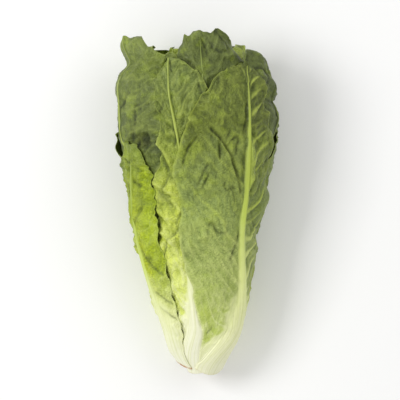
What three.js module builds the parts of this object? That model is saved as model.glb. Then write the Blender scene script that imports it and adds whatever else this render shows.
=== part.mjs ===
// Romaine (cos) lettuce head, trimmed at the butt and lying on its side.
// Millimetres. +Y runs from the cut stem to the leaf tips, +Z is up, +X is to the right seen from above.
//
// The leaves grow in a spiral from a short conical stem. They are laid one on another from the inside out:
// a polar height field round the head's axis holds how far out the head reaches so far, and each new leaf
// is a taut sheet that touches it from outside. So every leaf is a solid of its own, clear of the others.

import * as THREE from "three";

// ---------------------------------------------------------------- driving dimensions
const clearance = 0.42; // free gap between neighbouring pieces
const goldenAngle = 137.5; // degrees from each leaf to the next younger one

// Outer envelope of the closed head: an ellipse that grows from the butt.
const envelope = {
  halfWidth: 74, // half the width that the head grows towards
  growth: 95, // length over which it grows
  start: 18, // how far below the butt the growth begins
  flatTop: 0.75, // half height over half width, above the axis and below it
  flatBottom: 0.75,
  roundAtButt: 0.26, // added to both at the butt, where the section is rounder
  roundReach: 50,
  closing: { from: 240, over: 60, share: 0.22 }, // the tips lean in
};
const looseness = 0.62; // how far the outer layers spread apart in the upper half
const sag = 0.93; // the head lies in this far: its axis stands at this share of the lower half's depth
const axisDrift = { butt: 3.5, middle: -4, length: 120 }; // the head's axis drifts this way in X
const buttLift = { height: 11, reach: 60 }; // the narrow end stands this much off the surface
const standOff = 2.5; // the envelope is flattened this far above the surface, which leaves room for a blade
const padHeight = 5; // whatever of the lowest leaf is nearer the surface than this is pressed flat on it

// Stem: a cone inside the leaf bases, cut off obliquely.
const stem = {
  radius: 11,
  height: 62,
  cutAt: 4,
  cutSlope: 0.34,
  cutReach: 25,
  gap: 0.6,
  sides: 20,
  rings: 7,
};

const field = { angles: 180, rows: 153, length: 304 }; // resolution of the polar height field
const smoothing = { rounds: 14, pull: 0.6, hold: 0.12 }; // to the neighbours' mean, to the rest shape
const clearingRounds = 9; // passes that push a facet clear of what is below it

// Leaves, oldest (outermost) first. azimuth: midrib's direction at base, low, middle and tip, in degrees
// round the axis from +X through +Z. attach, tip: where the leaf starts and ends along the axis.
const outerLeaves = [
  {
    azimuth: [52, 20, 33, 36], attach: 0, tip: 267, half: [71, 29],
    widest: [0.6, 0.45], open: [0.2, 0.2], rib: 6.5, flare: 2,
  },
  {
    azimuth: [174, 162, 163, 154], attach: 6, tip: 204, half: [36, 19],
    widest: [0.5, 0.7], open: [0.2, 0.2], rib: 5.5, flare: 1,
  },
  {
    azimuth: [296, 304, 312, 314], attach: 4, tip: 252, half: [60, 60],
    widest: [0.6, 0.6], open: [0.2, 0.16], rib: 5.5, flare: 0,
  },
  {
    azimuth: [128, 100, 106, 110], attach: 5, tip: 274, half: [33, 56],
    widest: [0.45, 0.6], open: [0.18, 0.2], rib: 6.5, flare: 3,
  },
  {
    azimuth: [226, 230, 235, 238], attach: 8, tip: 262, half: [60, 56],
    widest: [0.6, 0.6], open: [0.2, 0.2], rib: 5, flare: 0,
  },
  {
    azimuth: [-8, -4, 4, 12], attach: 10, tip: 281, half: [56, 58],
    widest: [0.7, 0.6], open: [0.2, 0.2], rib: 5, flare: 9,
  },
  {
    azimuth: [160, 170, 168, 163], attach: 12, tip: 288, half: [40, 52],
    widest: [0.7, 0.75], open: [0.2, 0.2], rib: 5, flare: 9,
  },
  {
    azimuth: [278, 282, 285, 285], attach: 15, tip: 284, half: [56, 56],
    widest: [0.6, 0.6], open: [0.2, 0.2], rib: 4.6, flare: 1,
  },
  {
    azimuth: [70, 72, 78, 84], attach: 17, tip: 299, half: [36, 50],
    widest: [0.8, 0.75], open: [0.2, 0.2], rib: 4.6, flare: 3,
  },
];

// Rows along the leaf, and columns on half of its midrib and on one side of its blade.
const facetCounts = { outer: [19, 2, 3], middle: [13, 2, 2], heart: [10, 1, 2] };
const lowestLeaf = 2; // the third leaf takes the head's weight

// The younger leaves follow the spiral on: shorter, narrower, thinner and tighter towards the heart.
const youngLeaves = {
  count: 10,
  firstAzimuth: 206,
  attach: [20, 52],
  tip: [284, 215],
  half: [50, 24],
  rib: [4, 2.2],
};

// ---------------------------------------------------------------- small maths
const radians = (degrees) => (degrees * Math.PI) / 180;
const clamp = (x, low, high) => Math.min(high, Math.max(low, x));
const mix = (a, b, t) => a + (b - a) * t;
const smoothstep = (low, high, x) => {
  const t = clamp((x - low) / (high - low), 0, 1);
  return t * t * (3 - 2 * t);
};
// Smallest turn from angle b to angle a, between -pi and pi.
const turn = (a, b) => Math.atan2(Math.sin(a - b), Math.cos(a - b));

// ---------------------------------------------------------------- the head's frame
const halfWidth = (y) => envelope.halfWidth * (1 - Math.exp(-(y + envelope.start) / envelope.growth));
const axisX = (y) => mix(axisDrift.butt, axisDrift.middle, smoothstep(0, axisDrift.length, y));
const fade = (y, length) => Math.exp(-Math.max(y, 0) / length);
const flatness = (y, flat) => flat + envelope.roundAtButt * fade(y, envelope.roundReach);
const axisZ = (y) =>
  sag * halfWidth(y) * flatness(y, envelope.flatBottom) + buttLift.height * fade(y, buttLift.reach);

// Radius of the closed head's envelope in the direction of an angle.
function envelopeRadius(angle, y) {
  const a = halfWidth(y);
  const b = a * flatness(y, Math.sin(angle) > 0 ? envelope.flatTop : envelope.flatBottom);
  const { from, over, share } = envelope.closing;
  const closing = 1 - share * Math.pow(clamp((y - from) / over, 0, 1), 2);
  const free = closing / Math.hypot(Math.cos(angle) / a, Math.sin(angle) / b);
  const down = -Math.sin(angle);
  return down > 0.2 ? Math.min(free, (axisZ(y) - standOff) / down) : free;
}

const pointAt = ({ angle, y, radius }) => [
  axisX(y) + radius * Math.cos(angle),
  y,
  axisZ(y) + radius * Math.sin(angle),
];

const stemRadius = (y) => stem.radius * Math.pow(clamp(1 - y / stem.height, 0, 1), 0.8);

// ---------------------------------------------------------------- the polar height field
const fieldY = (i) => (field.length * i) / (field.rows - 1);
const reach = Array.from({ length: field.rows }, (_, i) =>
  new Float64Array(field.angles).fill(stemRadius(fieldY(i)) + stem.gap),
);

// How far out the head reaches at an angle and a place along the axis, between the field's nodes.
function reachAt(angle, y) {
  const row = clamp((y / field.length) * (field.rows - 1), 0, field.rows - 1.001);
  const column = ((((angle / (2 * Math.PI)) * field.angles) % field.angles) + field.angles) % field.angles;
  const i = Math.floor(row);
  const j = Math.floor(column);
  const next = (j + 1) % field.angles;
  const near = mix(reach[i][j], reach[i][next], column - j);
  const far = mix(reach[i + 1][j], reach[i + 1][next], column - j);
  return mix(near, far, row - i);
}

// ---------------------------------------------------------------- one leaf's plan
// s runs 0..1 from base to tip along the midrib, p runs -1..1 across the blade, left margin first.
const ribShare = 0.28; // the part of p that lies on the midrib

const leafY = (leaf, s) => mix(leaf.attach, leaf.tip, s);
const ribHalfWidth = (leaf, y) => (leaf.rib / 7) * Math.min(13, 1.6 + 26 * fade(y - leaf.attach, 34));

function bladeHalfWidth(leaf, s, side) {
  const half = leaf.half[side < 0 ? 0 : 1];
  const opening = 1 - Math.exp(-(s + 0.02) / leaf.open[side < 0 ? 0 : 1]);
  const shoulder = leaf.widest[side < 0 ? 0 : 1];
  const cap = Math.sqrt(1 - Math.pow(clamp((s - shoulder) / (1 - shoulder), 0, 1), 2.2));
  const lobes = 1 + 0.035 * Math.sin(23 * s + leaf.phase + side) * smoothstep(0.15, 0.5, s);
  return Math.max(half * opening * cap * lobes, 0.02 * half);
}

function leafAzimuth(leaf, s) {
  const [base, low, middle, tip] = leaf.azimuth;
  const early = mix(base, low, smoothstep(0, 0.16, s));
  const late = mix(early, middle, smoothstep(0.16, 0.5, s));
  return radians(mix(late, tip, smoothstep(0.55, 1, s)));
}

// Distance across the blade from the midrib's centre line, along the head's surface.
function across(leaf, s, p) {
  const rib = ribHalfWidth(leaf, leafY(leaf, s));
  const half = Math.max(bladeHalfWidth(leaf, s, p), rib * 1.12);
  const q = Math.abs(p);
  const distance = q < ribShare ? (rib * q) / ribShare : mix(rib, half, (q - ribShare) / (1 - ribShare));
  return Math.sign(p) * distance;
}

// Mean radius of what lies below a leaf at a place along the axis: it sets how far round the blade wraps.
function meanReach(y) {
  const row = reach[Math.round(clamp(y / field.length, 0, 1) * (field.rows - 1))];
  return row.reduce((sum, radius) => sum + radius, 0) / field.angles;
}

function leafAngle(leaf, s, p) {
  const y = leafY(leaf, s);
  const girth = Math.max(leaf.layer * halfWidth(y) * 0.88, leaf.girths[Math.round(s * 40)]);
  // left of the midrib, seen from outside with the tip up, is the way that azimuth grows
  return leafAzimuth(leaf, s) - clamp(across(leaf, s, p) / girth, -2.5, 2.5);
}

// Blade thickness plus the midrib's, which is a half-round keel that thins out towards the tip.
function thickness(leaf, s, p) {
  const y = leafY(leaf, s);
  const blade = 0.95;
  const lengthwise = (0.2 + 0.8 * fade(y - leaf.attach, 75)) * (1 - smoothstep(0.75, 1, s));
  const keel = 0.85 * leaf.rib * lengthwise;
  const roundOver = smoothstep(-0.03, 0.11, s); // the base end is rounded off
  const q = clamp(across(leaf, s, p) / (ribHalfWidth(leaf, y) * 1.15), -1, 1);
  return blade + keel * roundOver * Math.pow(1 - q * q, 1.2);
}

// The radius the leaf would take by itself: on its own layer, its margins tucked in on what is below.
function restRadius(leaf, s, p) {
  const y = leafY(leaf, s);
  const angle = leafAngle(leaf, s, p);
  const below = reachAt(angle, y) + clearance;
  const flare = leaf.flare * smoothstep(0.35, 0.75, s) * (1 - 0.5 * smoothstep(0.8, 0.97, s));
  // the outer layers stand further apart in the loose upper half than lower down
  const layer = Math.pow(leaf.layer, 1 - leaf.loose * smoothstep(70, 230, y));
  const own = layer * envelopeRadius(angle, y) + flare;
  const tucked = Math.max(below, own - leaf.tuck);
  return { radius: Math.max(below, mix(own, tucked, smoothstep(0.4, 1, Math.abs(p)))), below };
}

// How far the blade's margin stands off in waves. Under the head its weight has pressed them flat.
function ripple(leaf, s, p) {
  const swell = 0.5 + 0.5 * Math.sin(s * leaf.ripples + leaf.phase + Math.sign(p) * 1.3);
  const unpressed = smoothstep(-0.85, -0.25, Math.sin(leafAngle(leaf, s, p)));
  return leaf.wave * swell * unpressed * smoothstep(0.15, 0.5, s) * smoothstep(0.35, 1, Math.abs(p));
}

// Grid lines along and across the leaf, closer together at the base and the tip.
const alongSteps = (count) =>
  Array.from({ length: count + 1 }, (_, i) => {
    const x = i / count;
    return 0.994 * mix(x, 0.5 - 0.5 * Math.cos(Math.PI * x), 0.55);
  });
// The same, moved to the nearest rows of the height field, so that no facet bends between two of its rows.
function snappedSteps(leaf, count) {
  const pitch = field.length / (field.rows - 1);
  const rowAt = (s) => Math.round(leafY(leaf, s) / pitch) * pitch;
  return alongSteps(count).map((s) => (rowAt(s) - leaf.attach) / (leaf.tip - leaf.attach));
}
const acrossSteps = (onRib, onBlade) => {
  const side = [];
  for (let i = 1; i <= onRib; i++) side.push((ribShare * i) / onRib);
  for (let i = 1; i <= onBlade; i++) side.push(mix(ribShare, 1, i / onBlade));
  return [...side.map((p) => -p).reverse(), 0, ...side];
};

// The leaf's inner face as radii on a grid: a sheet pulled smooth that never goes inside what is below it.
function relaxedSheet(leaf, rows, columns) {
  const rest = rows.map((s) => columns.map((p) => restRadius(leaf, s, p)));
  let sheet = rest.map((row) => row.map((node) => node.radius));
  for (let round = 0; round < smoothing.rounds; round++) {
    sheet = sheet.map((row, i) =>
      row.map((radius, j) => {
        const above = sheet[Math.min(i + 1, rows.length - 1)][j];
        const under = sheet[Math.max(i - 1, 0)][j];
        const left = row[Math.max(j - 1, 0)];
        const right = row[Math.min(j + 1, columns.length - 1)];
        const even = (above + under + left + right) / 4;
        const pull = smoothing.pull * smoothstep(-0.1, 0.35, rows[i]);
        const pulled = mix(mix(radius, even, pull), rest[i][j].radius, smoothing.hold);
        return Math.max(pulled, rest[i][j].below);
      }),
    );
  }
  return sheet;
}

const interpolate = (steps, value) => {
  let i = 0;
  while (i < steps.length - 2 && steps[i + 1] < value) i++;
  return [i, clamp((value - steps[i]) / (steps[i + 1] - steps[i]), 0, 1)];
};

function sampleSheet(sheet, rows, columns, s, p) {
  const [i, f] = interpolate(rows, s);
  const [j, g] = interpolate(columns, p);
  return mix(mix(sheet[i][j], sheet[i][j + 1], g), mix(sheet[i + 1][j], sheet[i + 1][j + 1], g), f);
}

// ---------------------------------------------------------------- faceted skins over the field
// A skin is a grid of {angle, y, radius}. Its rows lie at constant y, so a cut at any y is a chain of
// straight pieces: along each column's edge, then over each cell's diagonal. Each joint of the chain
// remembers the two grid nodes it lies between and their shares.
function cutAcross(skin, y) {
  let i = 0;
  while (i < skin.length - 2 && skin[i + 1][0].y < y) i++;
  const f = clamp((y - skin[i][0].y) / (skin[i + 1][0].y - skin[i][0].y), 0, 1);
  const chain = [];
  const join = (j, k) => {
    const [near, far] = [skin[i][j], skin[i + 1][k]];
    const [nearPoint, farPoint] = [pointAt(near), pointAt(far)];
    const dx = mix(nearPoint[0], farPoint[0], f) - axisX(y);
    const dz = mix(nearPoint[2], farPoint[2], f) - axisZ(y);
    chain.push({ x: dx, z: dz, angle: Math.atan2(dz, dx), nodes: [[i, j, 1 - f], [i + 1, k, f]] });
  };
  for (let j = 0; j < skin[i].length; j++) {
    join(j, j);
    if (j + 1 < skin[i].length) join(j, j + 1);
  }
  return chain;
}

// Calls visit(place, radius, shares) for each joint of the chain and each field angle between joints.
// The place is an angle counted in steps of the height field, whole for the field's own angles.
function castRays(chain, visit) {
  const step = (2 * Math.PI) / field.angles;
  for (const { x, z, angle, nodes } of chain) visit(angle / step + field.angles, Math.hypot(x, z), nodes);
  for (let k = 0; k + 1 < chain.length; k++) {
    const [a, b] = [chain[k], chain[k + 1]];
    const span = turn(b.angle, a.angle);
    if (Math.abs(span) < 1e-9) continue;
    const start = Math.ceil((a.angle + Math.min(0, span)) / step);
    const end = Math.floor((a.angle + Math.max(0, span)) / step);
    for (let j = start; j <= end; j++) {
      const [cos, sin] = [Math.cos(j * step), Math.sin(j * step)];
      const t = clamp((sin * a.x - cos * a.z) / (cos * (b.z - a.z) - sin * (b.x - a.x)), 0, 1);
      const radius = cos * mix(a.x, b.x, t) + sin * mix(a.z, b.z, t);
      const weigh = (nodes, share) => nodes.map(([r, c, w]) => [r, c, w * share]);
      const shares = [...weigh(a.nodes, 1 - t), ...weigh(b.nodes, t)];
      visit(j + field.angles, radius, shares);
    }
  }
}

const rowsUnder = (skin) => {
  const first = Math.max(0, Math.ceil((skin[0][0].y / field.length) * (field.rows - 1)));
  const last = Math.min(field.rows - 1, Math.floor((skin.at(-1)[0].y / field.length) * (field.rows - 1)));
  return [first, last];
};

// Pushes a faceted inner face outwards wherever a facet would cut into what is below it: first by the
// least that clears each spot, shared among the facet's corners, and in the last round by all that is left.
function pushClear(inner) {
  const [first, last] = rowsUnder(inner);
  for (let round = 0; round < clearingRounds; round++) {
    const push = inner.map((row) => row.map(() => 0));
    for (let i = first; i <= last; i++)
      castRays(cutAcross(inner, fieldY(i)), (place, radius, shares) => {
        const [j, part] = [Math.floor(place), place % 1];
        const below = mix(reach[i][j % field.angles], reach[i][(j + 1) % field.angles], part);
        const short = below + clearance - radius;
        if (short <= 0.01) return;
        const weight = shares.reduce((sum, [, , w]) => sum + w * w, 0);
        for (const [r, c, w] of shares) {
          const share = round === clearingRounds - 1 ? (w > 0.02 ? short : 0) : (short * w) / weight;
          push[r][c] = Math.max(push[r][c], share);
        }
      });
    inner.forEach((row, r) => row.forEach((node, c) => (node.radius += push[r][c])));
  }
}

// Records a faceted outer face in the height field, and its rim one step wider than it is.
function layDown(outer) {
  const [first, last] = rowsUnder(outer);
  const covered = new Map();
  const key = (i, j) => i * field.angles + ((j + field.angles) % field.angles);
  for (let i = first; i <= last; i++)
    castRays(cutAcross(outer, fieldY(i)), (place, radius) => {
      for (const j of [Math.floor(place), Math.ceil(place)])
        covered.set(key(i, j), Math.max(radius, covered.get(key(i, j)) ?? 0));
    });
  const rim = new Map();
  for (const [k, radius] of covered) {
    const i = Math.floor(k / field.angles);
    const j = k % field.angles;
    for (let di = -1; di <= 1; di++)
      for (let dj = -1; dj <= 1; dj++) {
        const near = key(clamp(i + di, 0, field.rows - 1), j + dj);
        if (!covered.has(near)) rim.set(near, Math.max(radius, rim.get(near) ?? 0));
      }
  }
  for (const [k, radius] of [...covered, ...rim]) {
    const row = reach[Math.floor(k / field.angles)];
    row[k % field.angles] = Math.max(row[k % field.angles], radius);
  }
}

// ---------------------------------------------------------------- solids
// Closed solid between two skins of points on one grid, split into triangles alike on both faces.
function slabGeometry(inner, outer) {
  const rows = inner.length;
  const columns = inner[0].length;
  const positions = [];
  for (const skin of [inner, outer])
    for (const node of skin.flat()) positions.push(...node);
  const id = (face, i, j) => (face * rows + i) * columns + j;
  const index = [];
  const triangle = (a, b, c) => index.push(a, b, c);
  for (let i = 0; i + 1 < rows; i++)
    for (let j = 0; j + 1 < columns; j++) {
      triangle(id(1, i, j), id(1, i, j + 1), id(1, i + 1, j + 1));
      triangle(id(1, i, j), id(1, i + 1, j + 1), id(1, i + 1, j));
      triangle(id(0, i, j), id(0, i + 1, j + 1), id(0, i, j + 1));
      triangle(id(0, i, j), id(0, i + 1, j), id(0, i + 1, j + 1));
    }
  const wall = (a, b) => {
    triangle(id(0, ...a), id(1, ...a), id(1, ...b));
    triangle(id(0, ...a), id(1, ...b), id(0, ...b));
  };
  for (let j = 0; j + 1 < columns; j++) {
    wall([0, j + 1], [0, j]);
    wall([rows - 1, j], [rows - 1, j + 1]);
  }
  for (let i = 0; i + 1 < rows; i++) {
    wall([i, 0], [i + 1, 0]);
    wall([i + 1, columns - 1], [i, columns - 1]);
  }
  const geometry = new THREE.BufferGeometry();
  geometry.setAttribute("position", new THREE.Float32BufferAttribute(positions, 3));
  geometry.setIndex(index);
  geometry.computeVertexNormals();
  return geometry;
}

// Stem cone along +Y with its oblique cut face.
function stemGeometry() {
  const profile = [new THREE.Vector2(0, 0)];
  for (let i = 0; i <= stem.rings; i++) {
    const y = mix(stem.cutAt, stem.height - 3, i / stem.rings);
    profile.push(new THREE.Vector2(stemRadius(y), y - stem.cutAt));
  }
  profile.push(new THREE.Vector2(0, stem.height - 2 - stem.cutAt));
  const geometry = new THREE.LatheGeometry(profile, stem.sides);
  const position = geometry.getAttribute("position");
  for (let i = 0; i < position.count; i++) {
    const x = position.getX(i);
    const up = position.getY(i);
    const y = up + stem.cutAt;
    const slant = stem.cutSlope * x * (1 - smoothstep(0, stem.cutReach, up));
    position.setXYZ(i, x + axisX(y), y + slant, position.getZ(i) + axisZ(y));
  }
  return geometry;
}

// ---------------------------------------------------------------- assembly
// Waxy leaf surface: deep green outside, paler towards the heart.
function leafFinish(depth) {
  const color = new THREE.Color(0x84984a).lerp(new THREE.Color(0xd9dc8c), Math.pow(depth, 0.8));
  return new THREE.MeshStandardMaterial({ color, roughness: mix(0.5, 0.42, depth), metalness: 0 });
}

const stemFinish = new THREE.MeshStandardMaterial({ color: 0xe8e2bd, roughness: 0.6, metalness: 0 });

const lettuce = new THREE.Group();
lettuce.name = "romaine_lettuce_head";

function addMesh(name, geometry, material) {
  const mesh = new THREE.Mesh(geometry, material);
  mesh.name = name;
  lettuce.add(mesh);
}

const young = Array.from({ length: youngLeaves.count }, (_, i) => {
  const t = i / (youngLeaves.count - 1);
  const azimuth = youngLeaves.firstAzimuth + goldenAngle * i;
  return {
    azimuth: [azimuth, azimuth, azimuth + 4, azimuth + 8],
    attach: mix(...youngLeaves.attach, t),
    tip: mix(...youngLeaves.tip, t * t),
    half: [mix(...youngLeaves.half, t), mix(...youngLeaves.half, t)],
    widest: [0.6, 0.6],
    open: [0.2, 0.2],
    rib: mix(...youngLeaves.rib, t),
    flare: 0,
  };
});

const leaves = [...outerLeaves, ...young].map((leaf, i, all) => {
  const depth = i / (all.length - 1); // 0 at the outermost leaf, 1 at the innermost
  const heart = depth > 0.7;
  const kind = heart ? "heart" : i < outerLeaves.length ? "outer" : "middle";
  return {
    ...leaf,
    name: `${kind}_leaf_${String(i + 1).padStart(2, "0")}`,
    depth,
    layer: mix(0.97, 0.16, Math.pow(depth, 0.85)),
    loose: looseness * (1 - smoothstep(0.4, 0.8, depth)),
    phase: 2.4 * i,
    ripples: 34 + 5 * Math.sin(5 * i),
    wave: heart ? 1.5 : mix(4.5, 2.5, depth),
    tuck: i === lowestLeaf ? 0.5 : i === 0 ? 3 : 7,
    facets: facetCounts[kind],
    resting: i === lowestLeaf,
  };
});

// From the heart outwards: relax a fine sheet, facet it, push it clear, and lay it on the field.
const blades = [...leaves].reverse().map((leaf) => {
  leaf.girths = Array.from({ length: 41 }, (_, i) => meanReach(leafY(leaf, i / 40)) + 2.5);
  const fineRows = alongSteps(44);
  const fineColumns = acrossSteps(4, 9);
  const sheet = relaxedSheet(leaf, fineRows, fineColumns);
  const rows = snappedSteps(leaf, leaf.facets[0]);
  const columns = acrossSteps(leaf.facets[1], leaf.facets[2]);
  const inner = rows.map((s) =>
    columns.map((p) => ({
      angle: leafAngle(leaf, s, p),
      y: leafY(leaf, s),
      radius: sampleSheet(sheet, fineRows, fineColumns, s, p) + ripple(leaf, s, p),
    })),
  );
  pushClear(inner);
  const outer = inner.map((row, i) =>
    row.map((node, j) => ({ ...node, radius: node.radius + thickness(leaf, rows[i], columns[j]) })),
  );
  layDown(outer);
  const toPoints = (skin) => skin.map((row) => row.map(pointAt));
  return { leaf, inner: toPoints(inner), outer: toPoints(outer) };
});

// The head's box puts the part's origin at the middle of its underside, and the lowest leaf is pressed
// flat there.
const points = blades.flatMap(({ outer, inner }) => [...outer.flat(), ...inner.flat()]);
const range = (axis) => [Math.min(...points.map((p) => p[axis])), Math.max(...points.map((p) => p[axis]))];
const [left, right] = range(0);
const [butt, top] = range(1);
const [lowest] = range(2);
const shift = [-(left + right) / 2, -(butt + top) / 2, -lowest];
for (const { leaf, inner, outer } of blades) {
  const move = (point) => point.map((value, axis) => value + shift[axis]);
  const moved = (skin) => skin.map((row) => row.map(move));
  const pressed = moved(outer).map((row) => row.map(([x, y, z]) => [x, y, z < padHeight ? 0 : z]));
  const outside = leaf.resting ? pressed : moved(outer);
  addMesh(leaf.name, slabGeometry(moved(inner), outside), leafFinish(leaf.depth));
}
addMesh("stem_core", stemGeometry().translate(...shift), stemFinish);

export default lettuce;
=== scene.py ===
# A head of romaine (cos) lettuce lying on its side, with its butt towards -Y.
# Lengths are millimetres up to meshPiece(). The head has its own frame, with y = 0 at the butt, and shift
# leads from it to the CAD frame.
import bpy
import numpy as np
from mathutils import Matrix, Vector


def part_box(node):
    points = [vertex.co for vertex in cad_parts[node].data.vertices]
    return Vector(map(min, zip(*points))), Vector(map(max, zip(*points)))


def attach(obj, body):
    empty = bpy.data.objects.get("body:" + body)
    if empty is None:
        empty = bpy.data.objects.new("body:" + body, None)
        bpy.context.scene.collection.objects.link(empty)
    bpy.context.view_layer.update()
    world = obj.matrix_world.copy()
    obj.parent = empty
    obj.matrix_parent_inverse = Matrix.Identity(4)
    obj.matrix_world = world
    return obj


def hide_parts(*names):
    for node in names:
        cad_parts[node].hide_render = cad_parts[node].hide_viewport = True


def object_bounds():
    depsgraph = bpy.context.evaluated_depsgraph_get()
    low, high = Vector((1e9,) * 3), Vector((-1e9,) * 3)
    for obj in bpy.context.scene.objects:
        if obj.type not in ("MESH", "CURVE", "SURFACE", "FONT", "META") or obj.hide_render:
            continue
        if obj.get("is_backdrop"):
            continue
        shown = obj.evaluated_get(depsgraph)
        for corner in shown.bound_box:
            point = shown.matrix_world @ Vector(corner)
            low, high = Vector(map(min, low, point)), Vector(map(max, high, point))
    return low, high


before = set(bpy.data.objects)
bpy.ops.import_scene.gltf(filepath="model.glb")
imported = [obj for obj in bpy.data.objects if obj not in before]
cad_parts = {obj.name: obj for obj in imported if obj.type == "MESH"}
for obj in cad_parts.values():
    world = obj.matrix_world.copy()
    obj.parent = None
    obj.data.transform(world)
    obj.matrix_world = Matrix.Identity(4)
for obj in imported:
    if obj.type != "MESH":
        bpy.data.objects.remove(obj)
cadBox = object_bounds()
print("frame loaded")


def mix(a, b, t):
    # a where t is 0, b where it is 1, and evenly between
    return a + (b - a) * t


def smoothstep(low, high, x):
    # 0 below low, 1 above high, and 3t^2 - 2t^3 between
    t = np.clip((x - low) / (high - low), 0, 1)
    return t * t * (3 - 2 * t)


def bell(x, width):
    # 1 at 0, and a bell curve that falls to 1 / e at width
    return np.exp(-((x / width) ** 2))


def smoothNoise(x, y, seed):
    # random heights from 0 to 1 on a lattice of whole numbers, blended by the smooth curve 3t^2 - 2t^3
    cells = 128   # after which the lattice repeats
    heights = np.random.default_rng(seed).random((cells, cells))
    column, row = np.floor(x).astype(int), np.floor(y).astype(int)
    across, up = smoothstep(0, 1, x - column), smoothstep(0, 1, y - row)
    corner = lambda i, j: heights[(column + i) % cells, (row + j) % cells]
    near = mix(corner(0, 0), corner(1, 0), across)
    return mix(near, mix(corner(0, 1), corner(1, 1), across), up)


def ridge(noise):
    # 1 where a noise is one half, falling to 0 on both sides
    return 1 - np.abs(2 * noise - 1)


# The closed head: an ellipse round an axis, growing from the butt. Its sizes are those of the CAD solids.
head = {
    "halfWidth": 74, "growth": 95, "start": 18,   # half width is halfWidth * (1 - exp(-(y + start) / growth))
    "flatTop": 0.75, "flatBottom": 0.75,          # height over width, above and below the axis
    "roundAtButt": 0.26, "roundReach": 50,        # the section is rounder near the butt
    "sag": 0.93, "buttLift": 11, "liftReach": 60,   # how deep it lies, and the lift of its narrow end
    "axisButt": 3.5, "axisMiddle": -4, "axisBend": 120,   # x of the axis at the butt, and from y = 120 on
    "standOff": 2.5, "underside": -0.2,           # flat this far above the floor, where sin(angle) is less
    "closing": 0.22, "closingFrom": 240, "closingOver": 60,   # how far the tips lean in, and where
    "meanRadius": 0.88,                           # of the section, as a share of its half width
    "looseness": 0.62, "looseOver": [70, 230],    # how far the outer layers spread apart, and over which y
}
stem = {
    "radius": 11, "height": 62, "taper": 0.8,     # a cone
    "cutAt": 4, "cutSlope": 0.34, "slopeReach": 25,   # its oblique cut face, and how far up that tilts it
    "topGap": 2.5, "skinGap": 0.4,                # how much shorter and thinner it is than its solid
    "columns": 96, "rows": 60,
    "grooves": 7, "groove": 0.35,                 # round the cone, and their depth
    "cutRelief": 0.5, "cutGrain": 2.5,            # height and size of the roughness of the cut
}


def halfWidth(y):
    # grows from the butt towards its full size as 1 - exp(-y) does
    return head["halfWidth"] * (1 - np.exp(-(y + head["start"]) / head["growth"]))


def axisX(y):
    # the axis bends over from its place at the butt to the one in the middle
    return mix(head["axisButt"], head["axisMiddle"], smoothstep(0, head["axisBend"], y))


def flatness(y, flat):
    # height over width: flat, and exp(-y) more near the butt
    return flat + head["roundAtButt"] * np.exp(-np.maximum(y, 0) / head["roundReach"])


def axisZ(y):
    # a share of the section's half height, and near the butt a lift that fades as exp(-y) does
    lift = head["buttLift"] * np.exp(-np.maximum(y, 0) / head["liftReach"])
    return head["sag"] * halfWidth(y) * flatness(y, head["flatBottom"]) + lift


def stemRadius(y):
    # a cone, a little rounded
    return stem["radius"] * np.clip(1 - y / stem["height"], 0, 1) ** stem["taper"]


def envelopeRadius(angle, y):
    # an ellipse's radius in the direction of the angle, drawn in towards the tips and flat over the floor
    a = halfWidth(y)
    b = a * np.where(np.sin(angle) > 0, flatness(y, head["flatTop"]), flatness(y, head["flatBottom"]))
    closing = 1 - head["closing"] * np.clip((y - head["closingFrom"]) / head["closingOver"], 0, 1) ** 2
    free = closing / np.hypot(np.cos(angle) / a, np.sin(angle) / b)
    down = np.minimum(np.sin(angle), head["underside"])
    flat = np.minimum(free, (axisZ(y) - head["standOff"]) / -down)
    return np.where(np.sin(angle) < head["underside"], flat, free)


# The stem's widest ring stands at stem["cutAt"], and reaches the stem's highest x and lowest z.
# So its box says where the head's frame lies in the CAD frame.
stemLow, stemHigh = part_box("stem_core")
ringRadius = float(stemRadius(stem["cutAt"]))
shift = np.array([
    stemHigh.x * 1000 - float(axisX(stem["cutAt"])) - ringRadius,
    cadBox[0].y * 1000,
    stemLow.z * 1000 - float(axisZ(stem["cutAt"])) + ringRadius,
])
print("head frame at", shift.round(3), "mm")

# Two polar fields round the axis: how far out the head reaches so far, and the roof that lies over it.
field = {
    "angles": 240, "rows": 204, "length": 304.5,
    "clearance": 0.4, "stemGap": 0.6,   # between two leaves, and between the stem and the leaf on it
    "open": 1000.0,                     # radius of the roof where nothing lies over the head
    "roofSlope": 0.9, "roofPasses": 4,  # how steeply the roof rises past a margin, and for how many cells
    "roofWide": 80,                     # the radius at which a cell's width is taken, at most
    "floorFrom": -0.05,                 # the floor is the roof where sin(angle) is below this
}
fieldStep = 2 * np.pi / field["angles"]
fieldAngles = np.arange(field["angles"]) * fieldStep
fieldRows = np.linspace(0, field["length"], field["rows"])
reach = np.repeat(stemRadius(fieldRows)[:, None] + field["stemGap"], field["angles"], axis=1)


def fieldRow(y):
    # the place of y among the field's rows
    return y / field["length"] * (field["rows"] - 1)


def fieldAt(values, angle, y):
    # the four nodes round a place, blended by its distance from them
    row = np.clip(fieldRow(y), 0, field["rows"] - 1.001)
    column = (angle / fieldStep) % field["angles"]
    i, j = np.floor(row).astype(int), np.floor(column).astype(int) % field["angles"]
    after = (j + 1) % field["angles"]
    near = mix(values[i, j], values[i, after], column - np.floor(column))
    far = mix(values[i + 1, j], values[i + 1, after], column - np.floor(column))
    return mix(near, far, row - i)


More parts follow.
